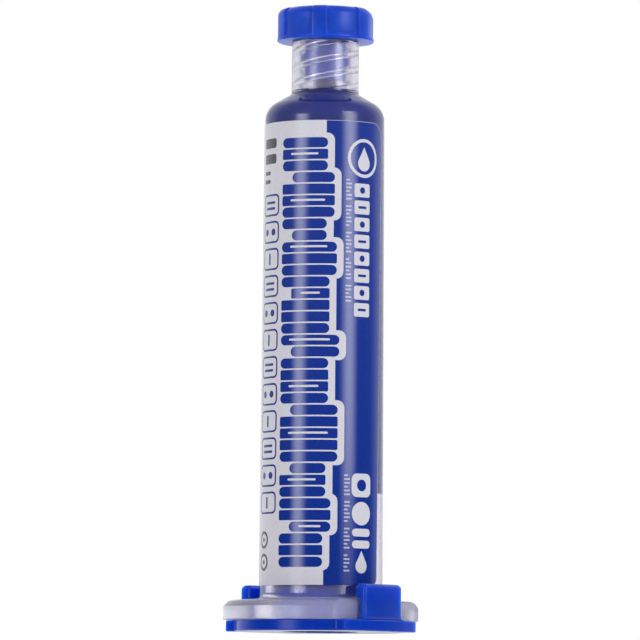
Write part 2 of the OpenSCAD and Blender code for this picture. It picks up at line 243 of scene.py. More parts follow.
def lathe(name, profile, turns, closed=False):
    """Turns a profile round the axis. The profile's points may move with the angle."""
    rings = [profile(turn) for turn in turns]
    count = len(rings[0])
    points = [(r * math.cos(t), r * math.sin(t), z) for t, ring in zip(turns, rings) for r, z in ring]
    faces = []
    for i in range(len(turns)):
        here, there = i * count, (i + 1) % len(turns) * count
        for j in range(count if closed else count - 1):
            k = (j + 1) % count
            faces.append((here + j, there + j, there + k, here + k))
    return solid(name, points, faces)


def even_turns(count):
    return [2 * math.pi * i / count for i in range(count)]


def srgb(code):
    """The linear colour of an sRGB hex value."""
    parts = [int(code[i:i + 2], 16) / 255 for i in (1, 3, 5)]
    return [p / 12.92 if p <= 0.04045 else ((p + 0.055) / 1.055) ** 2.4 for p in parts] + [1]


def new_material(name):
    """An empty node material, with its output still to be linked."""
    material = bpy.data.materials.new(name)
    material.use_nodes = True
    material.node_tree.nodes.clear()
    return material, material.node_tree


def add(tree, kind, inputs=None, **settings):
    """Adds one node. Inputs holds a value or another node's output for each socket."""
    made = tree.nodes.new("ShaderNode" + kind)
    for name, value in settings.items():
        setattr(made, name, value)
    for socket, value in (inputs or {}).items():
        if isinstance(value, bpy.types.NodeSocket):
            tree.links.new(value, made.inputs[socket])
        else:
            made.inputs[socket].default_value = value
    return made


def clear_polypropylene(name, roughness, clarity, tint):
    """Moulded polypropylene lets most light through with a faint lavender grey. Lamps shine through it."""
    material, tree = new_material(name)
    place = add(tree, "TexCoord").outputs["Object"]
    # Sink waves of the moulding, about 4 mm long
    waves = add(tree, "TexNoise", {"Vector": place, "Scale": 250.0, "Detail": 1.0})
    relief = add(tree, "Bump", {"Height": waves.outputs["Fac"], "Strength": 0.15, "Distance": 0.01 * MM})
    plastic = add(tree, "BsdfPrincipled", {
        "Base Color": tint,
        "Roughness": roughness,
        "IOR": 1.49,
        "Transmission Weight": clarity,
        "Normal": relief.outputs["Normal"],
    })
    shine_through = add(tree, "BsdfTransparent", {"Color": (0.86, 0.86, 0.93, 1)})
    path = add(tree, "LightPath")
    surface = add(tree, "MixShader", {
        0: path.outputs["Is Shadow Ray"],
        1: plastic.outputs["BSDF"],
        2: shine_through.outputs["BSDF"],
    })
    add(tree, "OutputMaterial", {"Surface": surface.outputs["Shader"]})
    return material


# A line of points stands at each of the four corners where a flat meets the flange's round
corner = math.acos(FLANGE_FLAT / FLANGE_R)
corners = [corner, math.pi - corner, math.pi + corner, 2 * math.pi - corner]
barrel = lathe("barrel_moulding", barrel_profile, sorted(even_turns(192) + corners), closed=True)
# One finish for each kind of face. The thick flange cools slowly in the mould, which leaves it milky
CLEAR, CORE_SIDE, MILKY, LUER_OUTSIDE, LUER_CORE = range(5)
MILKY_BELOW_Z = TUBE_Z + 0.4
MILKY_BEYOND_R = TUBE_R_LOW + 0.2
LUER_ABOVE_Z = SOCKET_Z - 1.5
LUER_BEYOND_R = SOCKET_R + 0.3
for name, roughness, clarity, tint in (
    ("clear_polypropylene", 0.08, 0.99, (0.75, 0.72, 0.87, 1)),
    ("clear_polypropylene_core_side", 0.17, 0.92, (0.72, 0.72, 0.9, 1)),
    ("milky_polypropylene_flange", 0.24, 0.8, (0.93, 0.91, 1.0, 1)),
    ("clear_polypropylene_luer_end", 0.16, 0.99, (0.765, 0.755, 0.84, 1)),
    ("clear_polypropylene_luer_core", 0.2, 0.88, (0.765, 0.755, 0.84, 1)),
):
    barrel.data.materials.append(clear_polypropylene(name, roughness, clarity, tint))
for face in barrel.data.polygons:
    outward = Vector((face.center.x, face.center.y, 0))
    radius, z = outward.length / MM, face.center.z / MM
    if face.normal.dot(outward.normalized()) < -0.1:
        finish = LUER_CORE if z > SHOULDER_Z else CORE_SIDE
    elif z < MILKY_BELOW_Z and radius > MILKY_BEYOND_R:
        finish = MILKY
    elif z > LUER_ABOVE_Z and radius > LUER_BEYOND_R:
        finish = LUER_OUTSIDE
    else:
        finish = CLEAR
    face.material_index = finish
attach(barrel, "syringe")
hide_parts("barrel")

# Piston: a wiper pushed in behind the ink, moulded in natural low-density polyethylene, which is a
# waxy off-white. Two thin lips seal on the bore, and its nose has the slope of the barrel's cone.
PISTON_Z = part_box("piston")[0].z / MM
PISTON_R = BORE_R - 0.05
LIP_Z = PISTON_Z + 13.6
LIP_H = 2
WAIST = 0.4
NOSE_R = PISTON_R - 1.2
NOSE_Z = LIP_Z - 0.7
HOLLOW_R = PISTON_R - WAIST - 1.2
HOLLOW_Z = LIP_Z - 4
HOLLOW_BEVEL = 0.3
PISTON_EDGE = 0.15
LIP_EDGE = 0.1
LIP_RIM_R = PISTON_R - 0.5
NOSE_TIP_R = 0.6


def piston_profile(turn):
    return [
        (0, HOLLOW_Z + HOLLOW_R / 2 * math.tan(SHOULDER_SLOPE)),
        (HOLLOW_R - HOLLOW_BEVEL, HOLLOW_Z + HOLLOW_BEVEL / 2),
        (HOLLOW_R, HOLLOW_Z - HOLLOW_BEVEL),
        (HOLLOW_R, PISTON_Z + PISTON_EDGE),
        (HOLLOW_R + PISTON_EDGE, PISTON_Z),
        (PISTON_R - PISTON_EDGE, PISTON_Z),
        (PISTON_R, PISTON_Z + PISTON_EDGE),
        (PISTON_R, PISTON_Z + LIP_H),
        (PISTON_R - WAIST, PISTON_Z + LIP_H + WAIST),
        (PISTON_R - WAIST, LIP_Z - LIP_H - WAIST),
        (PISTON_R, LIP_Z - LIP_H),
        (PISTON_R, LIP_Z - LIP_EDGE),
        (PISTON_R - LIP_EDGE, LIP_Z),
        (LIP_RIM_R, LIP_Z),
        (NOSE_R, NOSE_Z),
        (NOSE_TIP_R, NOSE_Z + (NOSE_R - NOSE_TIP_R) * math.tan(SHOULDER_SLOPE)),
        (0, NOSE_Z + (NOSE_R - NOSE_TIP_R / 2) * math.tan(SHOULDER_SLOPE)),
    ]


piston = lathe("piston_wiper", piston_profile, even_turns(96))
polyethylene, tree = new_material("natural_polyethylene")
place = add(tree, "TexCoord").outputs["Object"]
# Flow clouds a few millimetres wide, and a fine mould grain of 0.2 mm
clouds = add(tree, "TexNoise", {"Vector": place, "Scale": 300.0, "Detail": 3.0})
grain = add(tree, "TexNoise", {"Vector": place, "Scale": 5000.0, "Detail": 2.0})
tint = add(tree, "ValToRGB", {"Fac": clouds.outputs["Fac"]})
tint.color_ramp.elements[0].color = srgb("#CDCDC8")
tint.color_ramp.elements[1].color = srgb("#E2E1DC")
relief = add(tree, "Bump", {"Height": grain.outputs["Fac"], "Strength": 0.3, "Distance": 0.01 * MM})
wax = add(tree, "BsdfPrincipled", {
    "Base Color": tint.outputs["Color"],
    "Roughness": 0.42,
    "IOR": 1.51,
    "Subsurface Weight": 0.2,
    "Subsurface Radius": (0.0008, 0.0007, 0.0006),
    "Subsurface Scale": 1.0,
    "Normal": relief.outputs["Normal"],
})
add(tree, "OutputMaterial", {"Surface": wax.outputs["BSDF"]})
piston.data.materials.append(polyethylene)
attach(piston, "piston")
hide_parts("piston")

# Ink: a thick navy paste of UV-curing solder mask that fills the bore, the cone and the tip's channel.
# It wets the wall, so its surface is set a hair into the plastic, and its lower end follows the piston's
# nose.
WETTING = 0.02
INK_GAP = 0.06
# The ink in the channel's end bulges a little, and stands back from the rim
BULGE_RIM_Z = LUER_Z - 0.15
BULGE_TOP_Z = LUER_Z - 0.05


def ink_profile(turn):
    wall = BORE_R + WETTING
    return [
        (0, NOSE_Z + NOSE_R * math.tan(SHOULDER_SLOPE) + INK_GAP),
        (NOSE_R, NOSE_Z + INK_GAP),
        (LIP_RIM_R, LIP_Z + INK_GAP),
        (wall, LIP_Z + INK_GAP),
        *inside_bend(WETTING),
        (CHANNEL_R + WETTING, shoulder_height(CHANNEL_R + WETTING, SHOULDER_WALL - WETTING)),
        (CHANNEL_R + WETTING, BULGE_RIM_Z),
        (0, BULGE_TOP_Z),
    ]


ink = lathe("ink_fill", ink_profile, even_turns(128))
paste, tree = new_material("solder_mask_paste")
place = add(tree, "TexCoord").outputs["Object"]
# Slow streaks of pigment, about 5 mm wide, left by filling
streaks = add(tree, "TexNoise", {"Vector": place, "Scale": 200.0, "Detail": 2.0})
tint = add(tree, "ValToRGB", {"Fac": streaks.outputs["Fac"]})
tint.color_ramp.elements[0].color = srgb("#051A6E")
tint.color_ramp.elements[1].color = srgb("#082480")
resin = add(tree, "BsdfPrincipled", {
    "Base Color": tint.outputs["Color"],
    "Roughness": 0.35,
    "IOR": 1.5,
    "Specular IOR Level": 0.15,
})
add(tree, "OutputMaterial", {"Surface": resin.outputs["BSDF"]})
ink.data.materials.append(paste)
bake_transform(ink)
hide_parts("ink")

# Label: a printed polypropylene film, 0.08 mm thick, wrapped round the barrel with a bare strip left
# between its edges. A satin laminate covers the print, which is cut here as fields of colour.
FILM_T = 0.08
GLUE_T = 0.03
LABEL_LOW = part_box("label")[0].z / MM
LABEL_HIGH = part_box("label")[1].z / MM
LABEL_MID = (LABEL_LOW + LABEL_HIGH) / 2
# Print is laid out flat: s runs round the barrel from the line that faces the camera, and z up it
WRAP_R = 9.45
STRIP_AT = math.radians(47) - FACING
STRIP_HALF = 4.9
STRIP_LEAN = math.radians(0.8)
LABEL_ROUND_HIGH = 2.8
LABEL_ROUND_LOW = 1.4
PAINTED_EDGE_HIGHLIGHT_W = 0.08
WHITE_LEFT = -31
WHITE_RIGHT = 0.3
print_points = []
print_outlines = []
print_inks = []


def lay(ink_index, outline):
    """Prints one closed outline over what is there."""
    first = len(print_points)
    print_points.extend(Vector(p) for p in outline)
    print_outlines.append(list(range(first, len(print_points))))
    print_inks.append(ink_index)


def bar(left, right, low, high, radius=0.3):
    """Outline of a bar with rounded corners."""
    r = min(radius, (right - left) / 2 - 0.001, (high - low) / 2 - 0.001)
    return [
        *arc(right - r, high - r, r, 0, 90, 4),
        *arc(left + r, high - r, r, 90, 180, 4),
        *arc(left + r, low + r, r, 180, 270, 4),
        *arc(right - r, low + r, r, 270, 360, 4),
    ]


def disc(s, z, radius):
    return arc(s, z, radius, 0, 345, 23)


def strip_edge(z, side):
    """Where the label ends beside the bare strip, which leans a little."""
    across = side * STRIP_HALF + (z - LABEL_MID) * math.sin(STRIP_LEAN)
    return WRAP_R * (STRIP_AT + math.asin(across / WRAP_R))


# The pale ink serves for pale print, and for a painted highlight along the film's cut edge
WHITE, BLUE, NAVY, CHARCOAL, PALE_PRINT_AND_EDGE_HIGHLIGHT = range(5)

right_high, right_low = strip_edge(LABEL_HIGH, -1), strip_edge(LABEL_LOW, -1)
left_high = strip_edge(LABEL_HIGH, 1) - 2 * math.pi * WRAP_R
left_low = strip_edge(LABEL_LOW, 1) - 2 * math.pi * WRAP_R


def film_outline(inset):
    """The die-cut film with its four rounded corners, or the print inside its top and side edges."""
    high, low = LABEL_ROUND_HIGH, LABEL_ROUND_LOW
    return [
        *arc(right_high - high, LABEL_HIGH - high, high - inset, 0, 90, 12),
        *arc(left_high + high, LABEL_HIGH - high, high - inset, 90, 180, 12),
        *arc(left_low + low + inset, LABEL_LOW + low, low, 180, 270),
        *arc(right_low - low - inset, LABEL_LOW + low, low, 270, 360),
    ]


# The blue field stops just short of the film's edge, and the pale ink under it shows there as a thin pale
# line: a painted highlight of the film's lit cut edge
lay(PALE_PRINT_AND_EDGE_HIGHLIGHT, film_outline(0))
lay(BLUE, film_outline(PAINTED_EDGE_HIGHLIGHT_W))

# White field to the left of the facing line, round to the back
lay(WHITE, bar(WHITE_LEFT, WHITE_RIGHT, LABEL_LOW - 1, LABEL_HIGH + 1, 0.01))

# Main column: runs of broad bars. Each run ends at its own level, and a white margin follows it
BAR_PITCH = 1.78
BAR_H = 1.56
MARGIN = 1.05
RUN_ABOVE = 0.7
RUN_BELOW = 0.3
MAIN_TOP = 75.3
MAIN_LEFT = -7.1
INDENT = 1.9
runs = [
    (3, 1.6), (4, 2.7), (2, 1.5), (3, 3.1), (5, 2.0), (2, 3.6),
    (4, 1.9), (5, 3.4), (3, 1.6), (3, 2.4), (3, 1.2),
]
row = 0
for length, level in runs:
    run_high = MAIN_TOP - row * BAR_PITCH + RUN_ABOVE
    run_low = MAIN_TOP - (row + length) * BAR_PITCH - RUN_BELOW
    lay(WHITE, bar(-2, level, run_low, run_high, 1.1))
    row += length
row = 0
for length, level in runs:
    for i in range(length):
        high = MAIN_TOP - row * BAR_PITCH
        left = MAIN_LEFT + (INDENT if row % 5 == 3 else 0)
        ends = BAR_H / 2 if i in (0, length - 1) else 0.25
        lay(BLUE, bar(left, level - MARGIN, high - BAR_H, high, ends))
        if row % 4 == 1:
            lay(WHITE, bar(left + 1.6, level - MARGIN - 1.5, high - 0.87, high - 0.55))
        row += 1

# Left column: outlined tiles with a mark in each
TILE_TOP = 65.2
TILE_PITCH = 4.15
TILE_LEFT = -12.5
TILE_RIGHT = -7.8
TILE_HALF = 1.7
TILE_LINE = 0.3
for i in range(12):
    middle = TILE_TOP - i * TILE_PITCH
    inner = TILE_HALF - TILE_LINE
    lay(NAVY, bar(TILE_LEFT, TILE_RIGHT, middle - TILE_HALF, middle + TILE_HALF, 0.8))
    lay(WHITE, bar(TILE_LEFT + TILE_LINE, TILE_RIGHT - TILE_LINE, middle - inner, middle + inner, 0.55))
    if i % 3 == 0:
        for z in (middle - 0.7, middle + 0.2):
            lay(NAVY, bar(-11.5, -8.8, z, z + 0.4, 0.2))
    elif i % 3 == 1:
        for s in (-11.2, -9.2):
            lay(NAVY, disc(s, middle, 0.55))
    else:
        lay(NAVY, bar(-10.4, -9.9, middle - 0.9, middle + 0.9, 0.2))

# Charcoal marks above and below the tiles
for low, high, right in ((74.0, 75.5, -8.6), (71.6, 73.1, -8.6), (69.9, 70.5, -10.2), (68.6, 69.2, -10.2)):
    lay(CHARCOAL, bar(-12.4, right, low, high, 0.4))
for z in (13.9, 10.5):
    lay(CHARCOAL, disc(-11.0, z, 1.35))
    lay(WHITE, disc(-11.0, z, 0.9))
    lay(CHARCOAL, disc(-11.0, z, 0.35))


def drop(s, z, radius):
    """Outline of a drop whose point is up."""
    return [(s, z + 2.1 * radius), *arc(s, z, radius, 150, 390, 16)]


# Right field: a drop in a ring, a column of blocks, four bold shapes, and fine dashes beside them
lay(WHITE, disc(6.7, 72.3, 3.0))
lay(BLUE, disc(6.7, 72.3, 2.5))
lay(WHITE, drop(6.7, 71.5, 1.2))
BLOCK_TOP = 68.4
BLOCK_PITCH = 2.62
BLOCK_H = 2.1
for i in range(8):
    high = BLOCK_TOP - i * BLOCK_PITCH
    lay(WHITE, bar(4.9, 7.9, high - BLOCK_H, high, 0.3))
    if i % 2:
        lay(BLUE, bar(5.6, 7.2, high - 1.25, high - 0.85, 0.15))
    else:
        lay(BLUE, disc(6.4, high - 1.05, 0.5))
DASH_PITCH = 0.58
DASH_LEFT = 3.45
DASH_H = 0.26
for first, count in ((69.0, 33), (23.8, 26)):
    for i in range(count):
        z = first - i * DASH_PITCH
        width = 0.95 if i % 3 else 0.6
        if i % 7 != 6:
            lay(PALE_PRINT_AND_EDGE_HIGHLIGHT, bar(DASH_LEFT, DASH_LEFT + width, z - DASH_H, z, 0.08))
lay(WHITE, bar(4.7, 8.4, 20.4, 24.0, 0.9))
lay(BLUE, disc(6.55, 22.2, 0.9))
lay(WHITE, disc(6.55, 17.9, 1.8))
for z in (12.6, 14.4):
    lay(WHITE, bar(4.8, 8.3, z, z + 1.2, 0.6))
lay(WHITE, drop(6.55, 9.9, 1.1))

# Back of the label: seven columns of fine dashes, as small print is laid
BACK_LEFT = -28.6
BACK_PITCH = 2.1
BACK_TOP = 70
BACK_END = 14
BACK_LINE_W = 0.55
BACK_GAP = 0.5
for column in range(7):
    s = BACK_LEFT + column * BACK_PITCH
    z = BACK_TOP
    stretch = 0
    while z > BACK_END:
        length = (2.6, 1.4, 3.4, 0.9, 2.0)[(stretch + column) % 5]
        lay(PALE_PRINT_AND_EDGE_HIGHLIGHT, bar(s, s + BACK_LINE_W, z - length, z, 0.15))
        z -= length + BACK_GAP
        stretch += 1

# Upright lines let the flat print bend round the barrel
FOLD = math.radians(2.5) * WRAP_R
folds = []
s = left_low - FOLD
while s < right_high + FOLD:
    folds.append((len(print_points), len(print_points) + 1))
    print_points.extend((Vector((s, LABEL_LOW - 3)), Vector((s, LABEL_HIGH + 3))))
    s += FOLD
cut = delaunay_2d_cdt(print_points, folds, print_outlines, 0, 1e-5, True)
flat_points, flat_faces, face_shapes = cut[0], cut[2], cut[5]
kept = [(face, max(shapes)) for face, shapes in zip(flat_faces, face_shapes) if 0 in shapes]


def wrapped(point, lift):
    """A point of the flat print on the drafted barrel, lifted off its surface."""
    turn = FACING + point.x / WRAP_R
    draft = (point.y - TUBE_Z) / (SHOULDER_Z - TUBE_Z)
    radius = TUBE_R_LOW + (TUBE_R_HIGH - TUBE_R_LOW) * draft + GLUE_T + lift
    return (radius * math.cos(turn), radius * math.sin(turn), point.y)


count = len(flat_points)
film_points = [wrapped(p, FILM_T) for p in flat_points] + [wrapped(p, 0) for p in flat_points]
film_front = [tuple(face) for face, shape in kept]
film_back = [tuple(v + count for v in reversed(face)) for face, shape in kept]
film_faces = film_front + film_back
film_inks = [print_inks[shape] for face, shape in kept] + [WHITE] * len(kept)
sides = {}
for face, shape in kept:
    for a, b in zip(face, face[1:] + face[:1]):
        sides[(a, b)] = print_inks[shape]
for (a, b), ink_index in sides.items():
    if (b, a) not in sides:
        film_faces.append((b, a, a + count, b + count))
        film_inks.append(WHITE)
used = sorted({v for face in film_faces for v in face})
renumber = {old: new for new, old in enumerate(used)}
mesh = bpy.data.meshes.new("label_film")
mesh.from_pydata(
    [Vector(film_points[v]) * MM for v in used], [], [[renumber[v] for v in face] for face in film_faces]
)
mesh.polygons.foreach_set("material_index", film_inks)
mesh.shade_smooth()
# The film's faces take the barrel's round, and its cut edge stays flat
normals = []
for i, face in enumerate(mesh.polygons):
    way = 1 if i < len(kept) else -1
    for v in face.vertices:
        across = Vector((mesh.vertices[v].co.x, mesh.vertices[v].co.y, 0)).normalized()
        normals.append(across * way if i < 2 * len(kept) else face.normal.copy())
mesh.normals_split_custom_set(normals)
label = bpy.data.objects.new("label_film", mesh)
bpy.context.scene.collection.objects.link(label)


def printed_film(name, colour, darker, gloss):
    """Printed film under a satin laminate: lamps show in it as soft upright streaks with a fine speckle.
    The opaque white dulls the gloss, and the solid colours keep it."""
    material, tree = new_material(name)
    place = add(tree, "TexCoord").outputs["Object"]
    # Printing dots of 0.25 mm, drawn coarser than the real screen so that they show
    dots = add(tree, "TexNoise", {"Vector": place, "Scale": 4000.0, "Detail": 1.0})
    tint = add(tree, "ValToRGB", {"Fac": dots.outputs["Fac"]})
    tint.color_ramp.elements[0].position = 0.3
    tint.color_ramp.elements[0].color = srgb(darker)
    tint.color_ramp.elements[1].position = 0.7
    tint.color_ramp.elements[1].color = srgb(colour)
    # The laminate's orange peel, about 0.6 mm from crest to crest
    peel = add(tree, "TexNoise", {"Vector": place, "Scale": 1700.0, "Detail": 2.0})
    relief = add(tree, "Bump", {"Height": peel.outputs["Fac"], "Strength": 0.2, "Distance": 0.006 * MM})
    film = add(tree, "BsdfPrincipled", {
        "Base Color": tint.outputs["Color"],
        "Roughness": 0.12,
        "IOR": 1.5,
        "Specular IOR Level": gloss,
        "Normal": relief.outputs["Normal"],
    })
    add(tree, "OutputMaterial", {"Surface": film.outputs["BSDF"]})
    return material


for name, colour, darker, gloss in (
    ("film_white", "#C9C8D0", "#C3C2CB", 0.09),
    ("film_blue", "#0D308B", "#09297F", 0.5),
    ("film_navy", "#2A2F7E", "#252A74", 0.4),
    ("film_charcoal", "#4A4A50", "#434348", 0.4),
    # The pale print also paints the highlight along the film's cut edge
    ("film_pale_print_and_edge_highlight", "#A9ABC4", "#A0A2BC", 0.3),
):
    label.data.materials.append(printed_film(name, colour, darker, gloss))
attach(label, "syringe")
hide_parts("label")

# Tip cap: one blue polypropylene moulding. Six ribs rise from a low ring round its head to give the
# fingers a grip. Its hollow stem seals on the luer tip, and two lugs catch in the collar's thread.
HEAD_TOP_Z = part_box("tip_cap")[1].z / MM
HEAD_Z = HEAD_TOP_Z - 5
STEM_END_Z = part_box("tip_cap")[0].z / MM
HEAD_R = 7.6
HEAD_ROUND = 1.3
HEAD_FOOT_ROUND = 0.2
HEAD_FOOT_H = 0.4
HEAD_FOOT_IN = 0.12
STEM_R = 3.15
STEM_ROUND = 0.2
STEM_ROOT = 0.25
STEM_ROOT_STEP = 0.08
STEM_ROWS = 60
SEAL_GAP = 0.05
SEAL_R = LUER_END_R + SEAL_GAP
SEAL_TOP_Z = LUER_Z + 0.6
RIB_H = 0.35
RIB_W = 2.7
RIB_TOP_W = RIB_W - 0.5
RIB_SIDE = 0.22
RIB_AT = math.radians(2.5)
RIBS = 6
LUG_R = 3.75
LUG_H = 0.95
LUG_SIDE = 0.15
LUG_END = 0.25
LUG_SPAN = math.radians(100)
LUG_AT = math.radians(40)


def between(turn, middle, count):
    """Angle from the nearest of evenly spaced directions."""
    step = 2 * math.pi / count
    return (turn - middle + step / 2) % step - step / 2


def eased(value):
    value = clamp(value)
    return value * value * (3 - 2 * value)


def hollow(turn):
    """Depth of the head's side at an angle: nothing on a rib, and RIB_H between two ribs."""
    off = abs(between(turn, RIB_AT, RIBS)) * HEAD_R
    return RIB_H * eased((off - RIB_TOP_W / 2) / RIB_SIDE)


def lug_height(turn, z):
    """How far a lug stands out of the stem. It lies midway between two ridges of the thread."""
    off = between(turn, LUG_AT, 2)
    ridge = THREAD_Z + THREAD_LEAD * (LUG_AT - FACING + off) / (2 * math.pi)
    middle = ridge + THREAD_LEAD / THREAD_STARTS / 2
    ends = clamp((LUG_SPAN / 2 - abs(off)) * STEM_R / LUG_END)
    return (LUG_R - STEM_R) * ends * clamp((LUG_H / 2 - abs(z - middle)) / LUG_SIDE + 1)


def tip_cap_profile(turn):
    low, high = STEM_END_Z + STEM_ROUND, HEAD_Z - STEM_ROOT
    heights = [low + (high - low) * i / STEM_ROWS for i in range(STEM_ROWS + 1)]
    rim = HEAD_R - hollow(turn)
    foot = max(rim, HEAD_R - HEAD_FOOT_IN)
    return [
        (0, SEAL_TOP_Z),
        (SEAL_R, SEAL_TOP_Z),
        (SEAL_R, LUER_Z),
        (SEAL_R + LUER_TAPER * (LUER_Z - STEM_END_Z) + SEAL_GAP, STEM_END_Z),
        *arc(STEM_R - STEM_ROUND, STEM_END_Z + STEM_ROUND, STEM_ROUND, 270, 350, 3),
        *[(STEM_R + lug_height(turn, z), z) for z in heights],
        (STEM_R + STEM_ROOT_STEP, HEAD_Z - STEM_ROOT_STEP),
        (STEM_R + STEM_ROOT, HEAD_Z),
        *arc(foot - HEAD_FOOT_ROUND, HEAD_Z + HEAD_FOOT_ROUND, HEAD_FOOT_ROUND, 270, 360, 5),
        (foot, HEAD_Z + HEAD_FOOT_H),
        (rim, HEAD_Z + 2 * HEAD_FOOT_H),
        *arc(rim - HEAD_ROUND, HEAD_TOP_Z - HEAD_ROUND, HEAD_ROUND, 0, 90, 10),
        (HEAD_R - HEAD_ROUND - 1, HEAD_TOP_Z),
        (0, HEAD_TOP_Z),
    ]


tip_cap = lathe("tip_cap_moulding", tip_cap_profile, even_turns(480))


def blue_polypropylene(name, colour, deeper, roughness, gloss, reach):
    """Coloured polypropylene has a deep even blue, a soft gloss, and the fine grain of an eroded mould."""
    material, tree = new_material(name)
    place = add(tree, "TexCoord").outputs["Object"]
    # Pigment clouds of 3 mm, and mould grain of 0.2 mm, drawn coarser than the real one so that it shows
    clouds = add(tree, "TexNoise", {"Vector": place, "Scale": 330.0, "Detail": 3.0})
    grain = add(tree, "TexNoise", {"Vector": place, "Scale": 5000.0, "Detail": 2.0})
    tint = add(tree, "ValToRGB", {"Fac": clouds.outputs["Fac"]})
    tint.color_ramp.elements[0].position = 0.3
    tint.color_ramp.elements[0].color = srgb(deeper)
    tint.color_ramp.elements[1].position = 0.7
    tint.color_ramp.elements[1].color = srgb(colour)
    relief = add(tree, "Bump", {"Height": grain.outputs["Fac"], "Strength": 0.45, "Distance": 0.01 * MM})
    plastic = add(tree, "BsdfPrincipled", {
        "Base Color": tint.outputs["Color"],
        "Roughness": roughness,
        "IOR": 1.49,
        "Specular IOR Level": gloss,
        "Subsurface Weight": 0.9,
        "Subsurface Radius": reach,
        "Subsurface Scale": 1.0,
        "Normal": relief.outputs["Normal"],
    })
    add(tree, "OutputMaterial", {"Surface": plastic.outputs["BSDF"]})
    return material


tip_cap.data.materials.append(blue_polypropylene(
    "blue_polypropylene_tip_cap", "#1148BC", "#0B3BA8", 0.3, 0.26, (0.001, 0.0022, 0.006)))
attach(tip_cap, "tip_cap")
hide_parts("tip_cap")

# End cap: one blue polypropylene moulding that the syringe stands on. A ring plugs the bore, and two
# hooks on square ears snap over the flange's flats.
PLATE_T = FLANGE_Z
PLATE_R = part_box("end_cap")[1].y / MM
EAR_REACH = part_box("end_cap")[1].x / MM
EAR_HALF = 8.45
EAR_BOW = 0.7
EAR_ROUND = 0.4
EAR_FILLET = 1
PLATE_BEVEL = 0.15
# The plug and the hooks are rooted in the plate
PLUG_ROOT_Z = PLATE_T - 0.5
HOOK_ROOT_Z = PLATE_T - 0.3
PLUG_R = BORE_R - 0.1
PLUG_TOP_Z = PLATE_T + 5.5
PLUG_LEAD_H = 0.4
PLUG_LEAD_IN = 0.3
RECESS_R = PLUG_R - 1.6
RECESS_Z = PLUG_TOP_Z - 1.1
RECESS_BEVEL = 0.3
RECESS_FLARE = 1.2
HOOK_IN = FLANGE_FLAT + 0.25
HOOK_OUT = HOOK_IN + 1.3
HOOK_HALF = 4.45
HOOK_TOP_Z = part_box("end_cap")[1].z / MM
HOOK_FOOT = 0.6
HOOK_CORNER = 0.45
HOOK_ROUND = 0.75
HOOK_SET_IN = 0.03
LIP_UNDER_Z = HOOK_TOP_Z - 2.2
LIP_IN = FLANGE_FLAT - 0.5
LIP_LEAD = 0.45


def ear_bow_x(y):
    """Reach of an ear's bowed end."""
    bow_r = (EAR_BOW ** 2 + EAR_HALF ** 2) / (2 * EAR_BOW)
    return EAR_REACH - bow_r + math.sqrt(bow_r ** 2 - y * y)


def plate_quarter():
    """A quarter of the plate's outline, from the middle of an ear's end round to the disc's side."""
    corner_x = EAR_REACH - EAR_BOW
    fillet_y = EAR_HALF + EAR_FILLET
    fillet_x = math.sqrt((PLATE_R + EAR_FILLET) ** 2 - fillet_y ** 2)
    facing = math.degrees(math.atan2(fillet_y, fillet_x))
    return [
        *[(ear_bow_x(y), y) for y in (0, 1, 2, 3, 4, 5, 6, 7, 7.7)],
        *arc(corner_x - EAR_ROUND, EAR_HALF - EAR_ROUND, EAR_ROUND, 10, 90, 5),
        *arc(fillet_x, fillet_y, EAR_FILLET, 270, 180 + facing, 8),
        *arc(0, 0, PLATE_R, facing, 90, 24)[1:],
    ]


def plate_outline():
    quarter = plate_quarter()
    half = quarter + [(-x, y) for x, y in reversed(quarter[:-1])]
    return half + [(x, -y) for x, y in reversed(half[1:-1])]


def inset(outline, depth):
    """The outline moved inwards."""
    moved = []
    for i, (x, y) in enumerate(outline):
        before, after = Vector(outline[i - 1]), Vector(outline[(i + 1) % len(outline)])
        along = (after - before).normalized()
        moved.append((x - along.y * depth, y + along.x * depth))
    return moved


def loft(name, rings):
    """A closed piece through rings of as many points each, from the bottom up."""
    count = len(rings[0])
    points = [p for ring in rings for p in ring]
    faces = [tuple(reversed(range(count))), tuple(range(len(points) - count, len(points)))]
    for i in range(len(rings) - 1):
        for j in range(count):
            k = (j + 1) % count
            faces.append((i * count + j, i * count + k, (i + 1) * count + k, (i + 1) * count + j))
    return solid(name, points, faces)


def combine(piece, tool, operation):
    """Joins a tool piece to a piece, or cuts it out, and keeps only the result."""
    change = piece.modifiers.new("combine", "BOOLEAN")
    change.operation = operation
    change.solver = "EXACT"
    change.object = tool
    bpy.context.view_layer.update()
    result = bpy.data.meshes.new_from_object(piece.evaluated_get(bpy.context.evaluated_depsgraph_get()))
    piece.modifiers.clear()
    piece.data = result
    bpy.data.objects.remove(tool)


def hook_ring(z, inner, outer, half):
    """One level section of a hook, with rounded corners, held within the ear's bowed end."""
    r = HOOK_CORNER
    outline = [
        *arc(outer - r, half - r, r, 0, 90, 5),
        *arc(inner + r, half - r, r, 90, 180, 5),
        *arc(inner + r, r - half, r, 180, 270, 5),
        *arc(outer - r, r - half, r, 270, 360, 5),
    ]
    return [(min(x, ear_bow_x(y) - HOOK_SET_IN), y, z) for x, y in outline]


